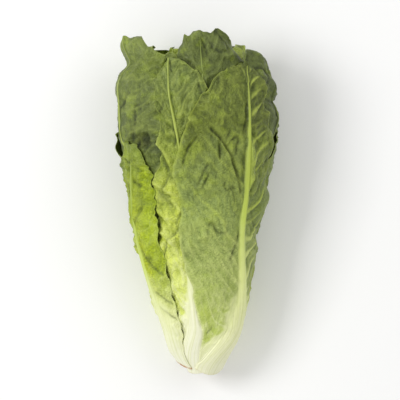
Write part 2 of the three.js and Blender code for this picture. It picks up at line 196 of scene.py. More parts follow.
def layOnField(values, angle, y, radius, better):
    # each field row under the leaf takes the radii of the leaf's cut there, where they are better, with one
    # cell more past each margin
    rowY = y[:, 0]
    first = max(int(np.ceil(fieldRow(rowY[0]))) - 1, 0)
    last = min(int(np.floor(fieldRow(rowY[-1]))) + 1, field["rows"] - 1)
    for i in range(first, last + 1):
        place = np.interp(fieldRows[i], rowY, np.arange(len(rowY)))
        k = min(int(place), len(rowY) - 2)
        cutAngle = mix(angle[k], angle[k + 1], place - k)[::-1]
        cutRadius = mix(radius[k], radius[k + 1], place - k)[::-1]
        low, high = np.ceil(cutAngle[0] / fieldStep) - 1, np.floor(cutAngle[-1] / fieldStep) + 1
        steps = np.arange(int(low), int(high) + 1)
        columns = steps % field["angles"]
        found = np.interp(steps * fieldStep, cutAngle, cutRadius)
        values[i, columns] = better(values[i, columns], found)


# What each leaf starts from. Its own dictionary below changes some of it.
leafHabit = {
    "widest": [0.6, 0.6],   # where each side is widest, as a share of the length
    "open": [0.2, 0.2],     # and how soon it opens from the base
    "narrowed": [0, 0],     # the share that each side loses in the upper half
    "bladeThickness": 0.95, # away from the midrib
    "pitch": 1.3,           # size of a mesh cell
    "tuck": 7,              # how far the margins are drawn in
    "ragged": 1.8,          # how uneven the margins are
    "tipRagged": 5.0,       # and the tip
    "tipSlant": 0.0,        # how much lower the tip is on its right side
    "tipRound": 6.0,        # how far the tip falls off 30 mm beside its middle
    "footRound": 6.0,       # and how far the foot is cut back at its margins
    "footSlant": 0.0,       # and on its left side
    "footSwell": 0.0,       # how far the foot bulges on its left side
    "ribSpread": 1.0,       # how far the midrib's pale colour reaches, as a share of its half width
    "bands": [],            # (share of the length, its spread, height): swellings and waists across the leaf
    "veinPitch": 17.0,      # between side veins, along the midrib
    "veinSlope": 0.9,       # how far a side vein runs towards the tip for each mm outwards
    "veinCurve": 0.004,     # and how that grows outwards
    "veinWander": 18.0,     # how far the side veins stray
    "veinHeight": 0.8, "pucker": 0.9, "crumple": 1.5, "crinkle": 0.6, "crease": 0.9, "frill": 1.3,   # heights
    "veinShow": [0.8, 0.8], # how strong the side veins are, left and right
    "shaded": [0, 0],       # how much darker the blade is between them
    "folds": [],            # (x, y, x, y, width, height, lean) seen from above, in the CAD frame
    "rust": 1.0, "rustReach": 1.6,   # how brown the cut foot is, and how far up
    "glow": None,           # across from, to, along from, to: where light shines through the blade
    # sRGB hex from foot to tip: blade, then midrib with the veins, at these shares of the length
    "bladeShades": ["e9edbe", "c2d060", "93a444", "78883c", "6c7a38"],
    "ribShades": ["f1f1cf", "e6eab0", "b9c666", "9cab50", "8c9a48"],
    "stops": [0.0, 0.17, 0.38, 0.66, 0.95],
    "roughness": 0.47,
}
# Oldest leaf first. azimuth is the midrib's direction at base, low, middle and tip, round the axis from +X
# through +Z. attach and tip are where the leaf starts and ends, half is the blade's half width on each side,
# rib the size of the midrib, flare how far the upper half leans out, and wave the height of the waves at the
# margins.
outerLeaves = [
    {"azimuth": [64, 25, 39, 43], "attach": 0, "tip": 267, "half": [72, 29], "widest": [0.6, 0.35],
     "open": [0.27, 0.2],
     "rib": 6.5, "ribSpread": 1.35, "flare": 2, "tuck": 3, "crumple": 1.3, "pucker": 0.8, "veinHeight": 0.55,
     "pitch": 1.05,
     "folds": [(9.0, 62.0, 19.5, 52.0, 1.3, -2.0, 0.7), (19.5, 52.0, 27.5, 38.0, 1.4, -2.8, 0.7),
               (27.5, 38.0, 33.4, 18.0, 1.3, -2.8, 0.7), (33.4, 18.0, 34.5, 6.0, 1.2, -2.0, 0.7),
               (18.3, 52.5, 18.3, 35.0, 1.2, -2.2, -0.6), (-9.0, 44.0, 1.0, 56.0, 1.3, -1.6, 0.6),
               (-14.0, 30.0, -8.0, 46.0, 1.3, -1.5, 0.6),
               (0.4, 22.3, 20.8, 15.4, 1.9, 1.5, 0.9), (-4.0, 12.0, 18.0, 9.0, 1.7, 1.2, 0.9),
               (2.1, -11.8, 25.9, -20.4, 2.0, 1.4, 0.9), (-6.0, -33.0, 16.0, -27.0, 1.8, 1.0, 0.9),
               (44.5, 48.0, 41.5, 12.0, 2.6, 3.4, 0.9), (48.5, 30.0, 42.0, 4.0, 1.3, -2.2, 0.6)],
     "veinPitch": 13.0, "veinShow": [0.9, 2.2], "shaded": [0, 0.4], "rust": 0.1,
     "bladeShades": ["e8ecb0", "bccd5c", "a6b65e", "90a156", "5c691c", "5c6926"],
     "ribShades": ["f4f4d2", "eef0bc", "dce494", "b4c452", "a6b548", "9ca948"],
     "stops": [0.0, 0.14, 0.3, 0.52, 0.8, 1.0]},
    {"azimuth": [174, 162, 163, 154], "attach": 3, "tip": 204, "half": [36, 20.5], "widest": [0.5, 0.7],
     "footRound": 2.0, "footSlant": 9.0, "footSwell": 4.0, "rustReach": 2.8, "wave": 2.0,
     "rib": 5.5, "flare": 1, "glow": (8, 26, 66, 178), "tipRagged": 7.0, "crumple": 2.6, "pucker": 1.8,
     "crinkle": 2.2,
     "bladeShades": ["f2f3d4", "e6eca0", "becc20", "a4b422", "768730"],
     "ribShades": ["f4f4dc", "ecf0ba", "c8d86a", "a8ba50", "94a448"], "stops": [0.0, 0.24, 0.46, 0.7, 1.0]},
    {"azimuth": [296, 304, 312, 314], "attach": 4, "tip": 252, "half": [60, 60], "open": [0.2, 0.16],
     "rib": 5.5, "flare": 0, "tuck": 0.5, "pitch": 1.6},
    {"azimuth": [128, 97, 101, 117], "attach": 1, "tip": 274, "half": [33, 56], "widest": [0.45, 0.6],
     "narrowed": [0.45, 0], "footRound": 3.0, "rust": 0.15, "tipRound": 3.0,
     "open": [0.18, 0.2], "rib": 6.5, "ribSpread": 1.25, "flare": 3, "pucker": 1.7, "crumple": 2.4,
     "veinHeight": 1.0, "veinPitch": 13.0, "crinkle": 1.8,
     "folds": [(-38.8, 58.0, -18.4, 24.0, 2.4, 3.6, 0.9), (-39.7, 18.0, -18.4, 4.4, 2.1, 3.0, 0.9),
               (-40.5, -3.3, -21.8, -17.8, 2.0, 2.6, 0.9), (-36.0, -22.0, -19.0, -38.0, 1.8, 2.2, 0.9),
               (-32.0, 72.0, -21.0, 52.0, 1.6, -1.4, 0.3), (-34.0, 8.0, -20.0, -6.0, 1.5, -1.6, 0.3)],
     "bladeShades": ["eff1c8", "e6f07c", "d8e552", "98a83a", "6f7e34", "7f8e48"],
     "ribShades": ["f5f5da", "f2f3d0", "dbe48e", "b6c45c", "a8b652", "a2b052"],
     "stops": [0.0, 0.2, 0.42, 0.66, 0.82, 0.97]},
    {"azimuth": [226, 230, 235, 238], "attach": 8, "tip": 262, "half": [60, 56],
     "rib": 5, "flare": 0, "pitch": 1.6},
    {"azimuth": [-8, -4, 4, 12], "attach": 10, "tip": 281, "half": [56, 58], "widest": [0.7, 0.6],
     "rib": 5, "flare": 9, "frill": 2.6, "tipRagged": 8.0, "tipSlant": 15.0, "crumple": 2.4, "crinkle": 1.0,
     "bands": [(0.9, 0.025, 3.0), (0.84, 0.02, -3.0), (0.77, 0.03, 2.5), (0.7, 0.02, -2.0)],
     "bladeShades": ["e4e8b4", "a6b54e", "637324", "455220", "5a662c"],
     "ribShades": ["eef0c8", "dde29c", "98a648", "7c8a38", "76843a"]},
    {"azimuth": [160, 170, 168, 163], "attach": 12, "tip": 289, "half": [40, 52], "widest": [0.7, 0.82],
     "tipRound": 3.0, "rib": 5, "flare": 9, "frill": 2.0, "tipRagged": 8.0, "crumple": 2.0,
     "bands": [(0.99, 0.035, 8.0), (0.92, 0.022, -4.0), (0.85, 0.03, 2.0)],
     "folds": [(-48.2, 57.0, -47.0, 46.0, 5.5, -7.0, 0.0)],
     "bladeShades": ["e6eab8", "b4c45a", "70802a", "4c5a24", "76843c"],
     "ribShades": ["f4f4d6", "e8ecb4", "c2ce72", "a4b250", "93a14c"]},
    {"azimuth": [278, 282, 285, 285], "attach": 15, "tip": 284, "half": [56, 56],
     "rib": 4.6, "flare": 1, "pitch": 1.6},
    {"azimuth": [70, 72, 78, 84], "attach": 17, "tip": 299, "half": [30, 50], "widest": [0.9, 0.75],
     "narrowed": [0.4, 0], "rib": 4.6, "flare": 3, "frill": 2.4, "tipRagged": 8.0, "crumple": 2.4,
     "bladeShades": ["e4e8b4", "b0c05a", "788736", "5b6829", "5f6b2f"],
     "ribShades": ["f0f1cc", "dfe4a0", "a4b250", "8a9842", "87954a"]},
]
lowestLeaf = {"index": 2, "sag": 9.0}   # this leaf sags onto the floor
young = {
    "count": 10, "firstAzimuth": 206, "turn": 137.5, "twist": 4,   # in degrees, the twist towards the tip
    "attach": [20, 52], "tip": [284, 215], "half": [50, 24], "rib": [4, 2.2], "pitch": [1.9, 1.8],
}
layering = {   # depth is 0 at the outermost leaf and 1 at the innermost
    "layers": [0.97, 0.16], "crowding": 0.85,   # shares of the envelope, from outermost to innermost
    "tight": [0.4, 0.8],                        # depths over which the upper halves become tight
    "heart": 0.7,                               # depth from which a leaf belongs to the heart
    "waves": [4.5, 2.5], "heartWave": 1.5,      # heights of the margins' waves
    "ripples": [34, 5],                         # radians of waves in a margin, and how far that differs
}

leaves = list(outerLeaves)
for i in range(young["count"]):
    t = i / (young["count"] - 1)
    azimuth = young["firstAzimuth"] + young["turn"] * i
    leaves.append({
        "azimuth": [azimuth, azimuth, azimuth + young["twist"], azimuth + 2 * young["twist"]],
        "attach": mix(*young["attach"], t), "tip": mix(*young["tip"], t * t),
        "half": [mix(*young["half"], t)] * 2, "rib": mix(*young["rib"], t),
        "flare": 0, "pitch": mix(*young["pitch"], t), "crumple": 1.8,
        "bladeShades": ["eef0cc", "e2e89e", "cfdb6c", "b8c852", "a0b142"],
        "ribShades": ["f4f4dc", "eff1cc", "e2e8a4", "d0da80", "bac862"],
    })
for i, leaf in enumerate(leaves):
    depth = i / (len(leaves) - 1)
    heart = depth > layering["heart"]
    kind = "heart" if heart else "outer" if i < len(outerLeaves) else "middle"
    leaf["node"] = "%s_leaf_%02d" % (kind, i + 1)
    leaf["slot"] = "outer_leaf" if kind == "outer" else "inner_leaf"
    leaf["layer"] = mix(*layering["layers"], depth ** layering["crowding"])
    leaf["loose"] = head["looseness"] * (1 - smoothstep(*layering["tight"], depth))
    leaf["phase"] = 2.4 * i   # sets its waves and lobes apart from those of the other leaves
    leaf["ripples"] = layering["ripples"][0] + layering["ripples"][1] * np.sin(5 * i)
    leaf.setdefault("wave", layering["heartWave"] if heart else mix(*layering["waves"], depth))
    leaf["seed"] = 100 * i + 7
    leaves[i] = {**leafHabit, **leaf}

# s runs 0 to 1 from base to tip along the midrib, p runs -1 to 1 across the blade, left margin first.
# smoothstep(low, high, s) fades something over these shares of the length, and one of abs(p) or of "share"
# over these shares of the half width.
ribShare = 0.28   # the part of p that lies on the midrib
midrib = {   # of a leaf with "rib": size
    "size": 7, "base": 13, "tip": 1.6, "swell": 26, "swellReach": 34,   # half widths, and how soon they fall
    "keel": 0.85, "keelWidth": 1.15,        # height as a share of "rib", width as a share of the midrib's
    "keelLeast": 0.2, "keelReach": 75,      # the share of the height that stays, and how soon the rest fades
    "beside": 1.12,                         # the blade is at least this many times as wide
}
margin = {
    "cap": 2.2,                             # how round the tip is: 2 is an ellipse
    "lobes": 0.035, "lobeTurns": 23,        # share of the half width, and radians of them in a leaf
    "teeth": [4.6, 11],                     # sizes of the uneven teeth
    "thinning": 0.45,                       # the share of its thickness that the blade loses
    "wrap": 2.5,                            # how far round the head a blade goes at most, in radians
}
girthPlaces = np.linspace(0, 1, 41)   # where a leaf's girth is taken


def ribHalfWidth(leaf, run):
    # falls from the swollen base as exp(-run / swellReach) does
    half = midrib["tip"] + midrib["swell"] * np.exp(-np.maximum(run, 0) / midrib["swellReach"])
    return leaf["rib"] / midrib["size"] * np.minimum(midrib["base"], half)


def bySide(pair, p):
    # the first value on the left of the midrib, the second on its right
    return np.where(p < 0, pair[0], pair[1])


def bladeHalfWidth(leaf, s, p):
    # opens from the base as 1 - exp(-s / open), and closes over the tip as an ellipse does, with slight lobes
    half, shoulder = bySide(leaf["half"], p), bySide(leaf["widest"], p)
    opening = 1 - np.exp(-(s + 0.02) / bySide(leaf["open"], p))
    cap = np.sqrt(1 - np.clip((s - shoulder) / (1 - shoulder), 0, 1) ** margin["cap"])
    lobes = margin["lobes"] * np.sin(margin["lobeTurns"] * s + leaf["phase"] + np.sign(p))
    lobes = 1 + lobes * smoothstep(0.15, 0.5, s)
    run, side = s * (leaf["tip"] - leaf["attach"]), 40 + 20 * np.sign(p)
    teeth = [smoothNoise(run / size, side, leaf["seed"] + 20 + k) for k, size in enumerate(margin["teeth"])]
    teeth = leaf["ragged"] * (sum(teeth) - 1) * smoothstep(0.08, 0.25, s) * np.minimum(cap * 2, 1)
    half = half * (1 - bySide(leaf["narrowed"], p) * smoothstep(0.5, 0.78, s))
    return np.maximum(half * opening * cap * lobes + teeth, 0.02 * half)


def leafPlan(leaf, s, p):
    # where a point of the leaf lies: along and across the leaf in mm, and its angle round the head
    y = mix(leaf["attach"], leaf["tip"], s)
    run = y - leaf["attach"]
    rib = ribHalfWidth(leaf, run)
    half = np.maximum(bladeHalfWidth(leaf, s, p), rib * midrib["beside"])
    q = np.abs(p)
    distance = np.where(q < ribShare, rib * q / ribShare, mix(rib, half, (q - ribShare) / (1 - ribShare)))
    across = np.sign(p) * distance
    base, low, middle, tip = leaf["azimuth"]
    late = mix(mix(base, low, smoothstep(0, 0.16, s)), middle, smoothstep(0.16, 0.5, s))
    azimuth = np.radians(mix(late, tip, smoothstep(0.55, 1, s)))
    girth = leaf["layer"] * halfWidth(y) * head["meanRadius"]
    girth = np.maximum(girth, np.interp(s, girthPlaces, leaf["girths"]))
    angle = azimuth - np.clip(across / girth, -margin["wrap"], margin["wrap"])
    return {"s": s, "p": p, "y": y, "run": run, "rib": rib, "half": half, "across": across, "angle": angle}


def unpressed(plan):
    # 1 where a leaf is free, 0 under the head, whose weight presses it flat
    return smoothstep(-0.85, -0.25, np.sin(plan["angle"]))


def thickness(leaf, plan):
    # a thin blade, and the midrib as a half-round keel that fades towards the tip
    fade = midrib["keelLeast"] + (1 - midrib["keelLeast"]) * np.exp(-plan["run"] / midrib["keelReach"])
    fade = fade * (1 - smoothstep(0.75, 1, plan["s"]))
    q = np.clip(plan["across"] / (plan["rib"] * midrib["keelWidth"]), -1, 1)
    keel = midrib["keel"] * leaf["rib"] * fade * smoothstep(-0.03, 0.11, plan["s"]) * (1 - q * q) ** 1.2
    thinned = 1 - margin["thinning"] * smoothstep(0.9, 1, np.abs(plan["p"]))
    return leaf["bladeThickness"] * thinned + keel


def restRadius(leaf, plan):
    # the radius of the leaf's own layer, margins tucked in, and the radius of what lies below it
    below = fieldAt(reach, plan["angle"], plan["y"]) + field["clearance"]
    flare = leaf["flare"] * smoothstep(0.35, 0.75, plan["s"]) * (1 - 0.5 * smoothstep(0.8, 0.97, plan["s"]))
    layer = leaf["layer"] ** (1 - leaf["loose"] * smoothstep(*head["looseOver"], plan["y"]))
    own = layer * envelopeRadius(plan["angle"], plan["y"]) + flare
    tucked = np.maximum(below, own - leaf["tuck"])
    return np.maximum(below, mix(own, tucked, smoothstep(0.4, 1, np.abs(plan["p"])))), below


def ripple(leaf, plan):
    # the margin stands off in waves along the leaf, except under the head, where they are pressed flat
    swell = 0.5 + 0.5 * np.sin(plan["s"] * leaf["ripples"] + leaf["phase"] + np.sign(plan["p"]) * 1.3)
    height = leaf["wave"] * swell * unpressed(plan)
    return height * smoothstep(0.15, 0.5, plan["s"]) * smoothstep(0.35, 1, np.abs(plan["p"]))


drape = {
    "rows": 44, "columns": (4, 9, 9),   # of the coarse sheet: on half the midrib, left of it and right of it
    "ribColumns": 10,                   # of the fine one
    "passes": 14, "pull": 0.6, "spring": 0.12,   # how hard the neighbours pull, and the leaf's own shape
    "slack": 2.5,                       # how far outside the head's mean radius a leaf is measured round it
    "bunching": 0.55,                   # how much closer together the grid lines are at the base and the tip
}


def alongSteps(count, end):
    # grid lines along the leaf, closer together at the base and the tip
    x = np.arange(count + 1) / count
    return end * mix(x, 0.5 - 0.5 * np.cos(np.pi * x), drape["bunching"])


def acrossSteps(onRib, onLeft, onRight):
    # grid lines across the leaf, evenly spaced on the midrib and on each side of it
    rib = ribShare * np.arange(1, onRib + 1) / onRib
    left = mix(ribShare, 1, np.arange(1, onLeft + 1) / onLeft)
    right = mix(ribShare, 1, np.arange(1, onRight + 1) / onRight)
    return np.concatenate([-left[::-1], -rib[::-1], [0], rib, right])


def relaxedSheet(leaf, rows, columns):
    # each node moves towards the mean of its four neighbours, then back to its rest, but never below what it
    # lies on
    s, p = np.meshgrid(rows, columns, indexing="ij")
    rest, below = restRadius(leaf, leafPlan(leaf, s, p))
    sheet = rest
    for _ in range(drape["passes"]):
        wide = np.pad(sheet, 1, mode="edge")
        even = (wide[2:, 1:-1] + wide[:-2, 1:-1] + wide[1:-1, 2:] + wide[1:-1, :-2]) / 4
        pulled = mix(sheet, even, drape["pull"] * smoothstep(-0.1, 0.35, s))
        pulled = mix(pulled, rest, drape["spring"])
        sheet = np.maximum(pulled, below)
    return sheet


def splineWeights(coarse, fine):
    # Catmull-Rom weights of each coarse line on each fine line
    place = np.interp(fine, coarse, np.arange(len(coarse)))
    i = np.minimum(place.astype(int), len(coarse) - 2)
    f = place - i
    weights = np.zeros((len(fine), len(coarse)))
    curve = [-0.5 * f + f ** 2 - 0.5 * f ** 3, 1 - 2.5 * f ** 2 + 1.5 * f ** 3,
             0.5 * f + 2 * f ** 2 - 1.5 * f ** 3, -0.5 * f ** 2 + 0.5 * f ** 3]
    for k, share in enumerate(curve):
        np.add.at(weights, (np.arange(len(fine)), np.clip(i + k - 1, 0, len(coarse) - 1)), share)
    return weights


def stackLeaf(leaf):
    # the smooth sheet of one leaf laid over the head as it is so far
    rowMeans = reach.mean(axis=1)
    leafRows = mix(leaf["attach"], leaf["tip"], girthPlaces)
    leaf["girths"] = np.interp(leafRows, fieldRows, rowMeans) + drape["slack"]
    coarseRows, coarseColumns = alongSteps(drape["rows"], 0.994), acrossSteps(*drape["columns"])
    sheet = relaxedSheet(leaf, coarseRows, coarseColumns)
    rows = alongSteps(int((leaf["tip"] - leaf["attach"]) / leaf["pitch"]), 0.9995)
    columns = acrossSteps(drape["ribColumns"], *[int(half / leaf["pitch"]) for half in leaf["half"]])
    s, p = np.meshgrid(rows, columns, indexing="ij")
    plan = leafPlan(leaf, s, p)
    radius = splineWeights(coarseRows, rows) @ sheet @ splineWeights(coarseColumns, columns).T
    below = fieldAt(reach, plan["angle"], plan["y"]) + field["clearance"]
    plan["radius"] = np.maximum(radius + ripple(leaf, plan), below)
    plan["thickness"] = thickness(leaf, plan)
    layOnField(reach, plan["angle"], plan["y"], plan["radius"] + plan["thickness"], np.maximum)
    return plan


def foldHeight(x, y, folds):
    # along each line a bell-shaped ridge, or a groove where the height is negative, that fades at both ends,
    # and beside it, on the side that lean gives, a narrower one the other way
    height = np.zeros_like(x)
    for x0, y0, x1, y1, width, rise, lean in folds:
        dx, dy = x1 - x0, y1 - y0
        length = np.hypot(dx, dy)
        t = ((x - x0) * dx + (y - y0) * dy) / length ** 2
        off = ((x - x0) * dy - (y - y0) * dx) / length
        ends = smoothstep(-0.15, 0.2, t) * (1 - smoothstep(0.8, 1.15, t))
        height += rise * (bell(off, width) - 0.4 * bell(off - 2 * lean * width, 0.8 * width)) * ends
    return height


# Noises over a leaf: what is added to its seed, and the size of a patch in each direction. That is in mm
# along and across the leaf, but in vein pitches and mm outwards for nets and blisters, and across and along
# the leaf for notches.
noises = {
    "broad": (3, 27, 16), "middle": (4, 11, 8), "small": (5, 5, 4),   # waves of the blade
    "ribEdge": (9, 9, 7), "haloEdge": (16, 9, 60), "haloTeeth": (17, 3, 30),
    "veinStray": (0, 38, 21), "veinShake": (1, 13, 9),
    "net": (2, 1 / 1.7, 10), "fineNet": (12, 1 / 4.2, 3.9), "blister": (13, 1 / 2.9, 5.2),
    "crinkle": (18, 6, 13), "crinklePatch": (19, 30, 18), "crease": (6, 15, 17), "creasePatch": (14, 22, 14),
    "frill": (7, 26, 1), "fibre": (8, 60, 1), "notch": (10, 9, 40), "fineNotch": (15, 3, 20),
    "glowEdge": (11, 14, 8),
}
relief = {   # lengths in mm, and shares
    "ribTaper": 0.75, "ribStray": 0.35,           # how much narrower the pale midrib ends, and how uneven
    "haloWidth": [13, 1], "haloTorn": [8, 4], "halo": 0.75,   # the pale stretch beside it, and its torn edge
    "veinStray": 7, "veinWidth": [1.1, 0.4],      # widths at the midrib and at the margin
    "veinSwell": [0.8, 7],                        # how much wider a side vein starts, and over which length
    "net": 0.7, "fineNet": 0.35, "blister": 1.1,  # heights, as shares of the leaf's pucker
    "broad": 1.3, "middle": 1.0, "small": 0.45,   # and of its crumple, half of the middle waves being fine
    "creaseWidth": 1.2, "frillLength": 4.2,
    "fibrePitch": 3.1, "fibre": 0.2,              # radians a mm across the midrib, and height
    "roundAt": 30,                                # where tipRound is reached, beside the middle
    "foot": [0.06, 0.1],                          # shares of the length where the foot is round, and slanted
    "tipSlantOver": [-16, 12], "footSlantOver": [-2, 12],   # across the leaf
    "swellLength": 50, "swellOver": 12,           # of the bulging foot, along the leaf and to its right
    "deepFold": [0.5, 1.8],                       # depth from which a fold is shaded, and how soon fully
    "glowSoft": [22, 6, 1.5], "glowStray": 3,     # edges of the glow below, above and beside, and their stray
}


def leafNoise(leaf, name, x, y, strayX=0, strayY=0):
    # the leaf's own noise of that name, strayed by others, and half a lattice away from those of the margin
    number, sizeX, sizeY = noises[name]
    return smoothNoise(x / sizeX + strayX, y / sizeY + strayY + 64, leaf["seed"] + number)


def paleParts(leaf, plan):
    # 1 inside the midrib's uneven edge, and a torn stretch beside it at the foot, which narrows with s
    run, across, s = plan["run"], plan["across"], plan["s"]
    taper = leaf["ribSpread"] * (1 - relief["ribTaper"] * smoothstep(0.6, 1, s))
    stray = relief["ribStray"] * (leafNoise(leaf, "ribEdge", run, across) - 0.5)
    rib = 1 - smoothstep(0.7, 1.1, np.abs(across) / plan["rib"] / taper + stray)
    torn = relief["haloTorn"][0] * (leafNoise(leaf, "haloEdge", run, across) - 0.5)
    torn += relief["haloTorn"][1] * (leafNoise(leaf, "haloTeeth", run, across) - 0.5)
    width = mix(*relief["haloWidth"], smoothstep(0.06, 0.36, s)) + torn
    halo = relief["halo"] * (1 - smoothstep(-2, 2, plan["out"] - width)) * (1 - smoothstep(0.2, 0.4, s))
    return rib, halo


def sideVeins(leaf, plan, waves):
    # a side vein is where its order is whole: it runs outwards and towards the tip, and strays. The nets and
    # blisters between the veins follow the same order.
    run, across, out, share = plan["run"], plan["across"], plan["out"], plan["share"]
    _, middle, small = waves
    slope = leaf["veinSlope"] + 2 * leaf["veinCurve"] * out
    stray = leaf["veinWander"] * (leafNoise(leaf, "veinStray", run, across) - 0.5)
    stray += relief["veinStray"] * (leafNoise(leaf, "veinShake", run, across) - 0.5)
    order = (run - leaf["veinSlope"] * out - leaf["veinCurve"] * out ** 2 + stray) / leaf["veinPitch"]
    order = order + np.where(across < 0, 0.45, 0)   # the two sides' veins start at different places
    nearest = np.round(order).astype(int)
    strength = np.random.default_rng(leaf["seed"]).random(64)[(nearest * 2 + (across < 0)) % 64]
    fromVein = np.abs(order - nearest) * leaf["veinPitch"] / np.sqrt(1 + slope ** 2)
    width = mix(*relief["veinWidth"], np.clip(share, 0, 1))
    width += relief["veinSwell"][0] * np.exp(-out / relief["veinSwell"][1])
    shown = (1 - smoothstep(0.25 + 0.4 * strength, 1, share)) * smoothstep(0, 2, out)
    shown = shown * smoothstep(0.03, 0.2, plan["s"])
    vein = bell(fromVein, width) * shown * mix(0.25, 1, strength) * bySide(leaf["veinShow"], across)
    net = ridge(leafNoise(leaf, "net", order, out, 0.5 * middle, 0.6 * small)) ** 5
    fineNet = ridge(leafNoise(leaf, "fineNet", order, out, small, middle)) ** 4
    blister = leafNoise(leaf, "blister", order, out, middle, small)
    return vein, net * plan["away"], fineNet * plan["away"], blister * plan["away"]


def crinkles(leaf, plan, waves):
    # wrinkles across the leaf, where a noise is near one half, in patches
    run, across = plan["run"], plan["across"]
    broad, middle, small = waves
    stray = 1.6 * middle + 1.2 * broad
    wrinkle = ridge(leafNoise(leaf, "crinkle", run, across, stray, 0.8 * small)) ** 2 - 0.35
    patch = 0.35 + smoothstep(0.35, 0.65, leafNoise(leaf, "crinklePatch", run, across))
    return wrinkle * plan["away"] * unpressed(plan) * patch


def creases(leaf, plan, waves):
    # a few short sharp lines: a bell round the places where a noise is one half, divided by the steepness
    # there, so that all lines are equally wide
    run, across, share = plan["run"], plan["across"], plan["share"]
    crossing = leafNoise(leaf, "crease", run + 0.8 * np.abs(across), across - 0.35 * run, 1.8 * waves[0])
    steepness = np.hypot(np.gradient(crossing, axis=0) / np.gradient(run, axis=0),
                         np.gradient(crossing, axis=1) / np.gradient(across, axis=1))
    where = smoothstep(0.5, 0.7, leafNoise(leaf, "creasePatch", run, across))
    line = bell((crossing - 0.5) / np.maximum(steepness, 0.004), relief["creaseWidth"])
    return line * where * plan["onBlade"] * (1 - smoothstep(0.8, 0.95, share))


def trims(leaf, plan):
    # how far the foot is cut back and the notched tip falls short, along the head's axis
    run, across, s = plan["run"], plan["across"], plan["s"]
    notches = 0.7 * leafNoise(leaf, "notch", across, run) + 0.3 * leafNoise(leaf, "fineNotch", across, run)
    drop = leaf["tipRagged"] * smoothstep(0.3, 0.85, notches)
    drop += leaf["tipSlant"] * smoothstep(*relief["tipSlantOver"], across)
    drop += leaf["tipRound"] * (across / relief["roundAt"]) ** 2
    roundFoot, slantFoot = relief["foot"]
    foot = leaf["footRound"] * (1 - smoothstep(0, roundFoot, s)) * plan["share"] ** 2
    slanted = leaf["footSlant"] * (1 - smoothstep(*relief["footSlantOver"], across))
    foot += slanted * (1 - smoothstep(0, slantFoot, s))
    return foot, drop * smoothstep(0.75, 1, s)


def glowMask(leaf, plan):
    # a soft-edged field along and across the leaf, whose left side strays
    run, across = plan["run"], plan["across"]
    if not leaf["glow"]:
        return np.zeros_like(run)
    left, right, low, high = leaf["glow"]
    below, above, beside = relief["glowSoft"]
    strayed = across + relief["glowStray"] * (leafNoise(leaf, "glowEdge", run, across) - 0.5)
    sides = smoothstep(left - beside, left + beside, strayed)
    sides = sides * (1 - smoothstep(right - beside, right + beside, across))
    ends = smoothstep(low - below, low + below, run) * (1 - smoothstep(high - above, high + above, run))
    return sides * ends


def leafRelief(leaf, plan):
    # side veins and their net as ridges, blisters between them, crumples, folds and a frilled margin
    run, across, s = plan["run"], plan["across"], plan["s"]
    plan["out"] = np.maximum(np.abs(across) - 0.8 * plan["rib"], 0)   # distance outside the midrib
    plan["share"] = share = np.abs(across) / plan["half"]
    ribMask, halo = paleParts(leaf, plan)
    plan["onBlade"] = onBlade = (1 - ribMask) * smoothstep(0.02, 0.16, s)
    plan["away"] = onBlade * smoothstep(0.5, 5, plan["out"])
    broad = leafNoise(leaf, "broad", run, across) - 0.5
    middle = leafNoise(leaf, "middle", run, across, broad) - 0.5
    small = leafNoise(leaf, "small", run, across, 0, middle) - 0.5
    waves = broad, middle, small
    vein, net, fineNet, blister = sideVeins(leaf, plan, waves)
    sharp = creases(leaf, plan, waves)
    frill = np.sin(run / relief["frillLength"] + 7 * leafNoise(leaf, "frill", run, share))
    frill = frill * smoothstep(0.6, 1, share) ** 1.5
    fibres = np.sin(across * relief["fibrePitch"] + 2 * leafNoise(leaf, "fibre", run, across))
    fibres = fibres * ribMask * smoothstep(1.5, 6, plan["rib"])
    x = axisX(plan["y"]) + plan["radius"] * np.cos(plan["angle"]) + shift[0]
    folded = foldHeight(x, plan["y"] + shift[1], leaf["folds"]) * smoothstep(-0.2, 0.2, np.sin(plan["angle"]))

    free = onBlade * unpressed(plan) * leaf["crumple"]
    nets = relief["net"] * net + relief["fineNet"] * fineNet - relief["blister"] * blister
    fine = leaf["veinHeight"] * vein + leaf["pucker"] * nets
    fine += free * (relief["middle"] / 2 * middle + relief["small"] * small)
    fine += leaf["crinkle"] * crinkles(leaf, plan, waves)
    fine += (folded - leaf["crease"] * sharp) * (1 - ribMask)
    height = fine + free * (relief["broad"] * broad + relief["middle"] / 2 * middle)
    height += leaf["frill"] * frill * unpressed(plan) * smoothstep(0.2, 0.5, s) + relief["fibre"] * fibres
    for place, spread, rise in leaf["bands"]:
        height += rise * bell(s - place, spread)

    trimmed, dropped = trims(leaf, plan)
    plan["slip"] = trimmed - dropped
    wider = envelopeRadius(plan["angle"], plan["y"] + trimmed) - envelopeRadius(plan["angle"], plan["y"])
    height += leaf["layer"] * wider
    swell = leaf["footSwell"] * (1 - smoothstep(0, relief["swellLength"], run))
    height += swell * (1 - smoothstep(0, relief["swellOver"], across))
    plan["height"] = height

    # painted shade: deep fold grooves, and the blade between the veins on a shaded side, are marked to be
    # darkened
    dentShade = np.clip((-folded - relief["deepFold"][0]) / relief["deepFold"][1], 0, 1) * (1 - ribMask)
    dentShade = np.maximum(dentShade, bySide(leaf["shaded"], across) * plan["away"] * smoothstep(0.1, 0.3, s))
    plan["marks"] = {   # what the finish reads
        "along": s, "across": across, "share": share, "relief": fine,
        "veins": np.maximum(vein, 0.5 * net + 0.2 * fineNet), "ribMask": np.maximum(ribMask, halo),
        # painted shade in the crease lines, the fold grooves and on a shaded side
        "sharp": np.maximum(0.7 * sharp, dentShade), "glow": glowMask(leaf, plan),
        "foot": 1 - smoothstep(0.3, leaf["rustReach"], run),
    }


def atEvenRows(plan, lies, values):
    # the values where y is even again, column by column, once the points have slipped to lies
    columns = [np.interp(plan["y"][:, 0], *pair) for pair in zip(lies.T, values.T)]
    return np.stack(columns, axis=1)


